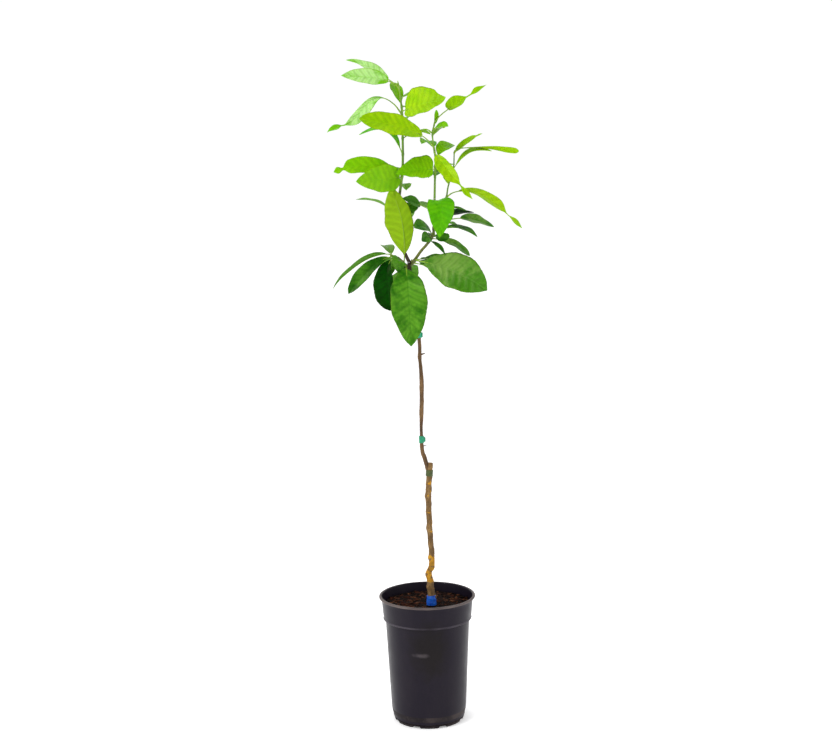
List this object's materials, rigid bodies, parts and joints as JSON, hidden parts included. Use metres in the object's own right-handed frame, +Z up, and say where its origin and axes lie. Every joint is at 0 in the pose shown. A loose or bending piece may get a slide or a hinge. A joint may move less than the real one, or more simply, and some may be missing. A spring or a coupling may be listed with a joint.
{
  "type": "potted lemon tree",
  "caption": "Young grafted lemon tree: a slender knotty stem from a tall round nursery pot, forked near the top, with broad pointed leaves on upright shoots.",
  "frame": {"origin": "centre of the pot's flat underside, where it stands", "axes": "+Z up the trunk, -Y towards the front where the largest leaves hang, +X to the right seen from that front"},
  "size_m": [0.3158, 0.1659, 1.1239],
  "materials": {
    "pot": "matt charcoal plastic, dusty at the lip",
    "soil": "moist potting mix with pale flecks",
    "bark": "rough brown bark with ochre patches",
    "blue_band": "glossy blue band",
    "graft_tape": "dull olive grafting tape",
    "green_tape": "satin green tie tape",
    "young_bark": "smooth purple-brown bark",
    "green_bark": "smooth green-brown bark",
    "young_leaves": "bright yellow-green satin leaves",
    "mid_leaves": "fresh green satin leaves",
    "old_leaves": "dark green glossy leaves"
  },
  "bodies": {
    "root": {"pot": "pot", "soil": "soil", "trunk": "bark", "foot_band": "blue_band", "graft_tape": "graft_tape", "tie_low": "green_tape", "tie_high": "green_tape", "bough_leader": "young_bark", "bough_right": "green_bark", "leaves_leader_top": "young_leaves", "leaves_leader_middle": "mid_leaves", "leaves_leader_foot": "old_leaves", "leaves_right_top": "young_leaves", "leaves_right_middle": "mid_leaves", "leaves_right_foot": "old_leaves", "leaves_side_shoot": "young_leaves", "leaves_fork_left": "old_leaves", "leaves_fork_back": "old_leaves", "leaves_fork_right": "old_leaves"}
  },
  "joints": []
}
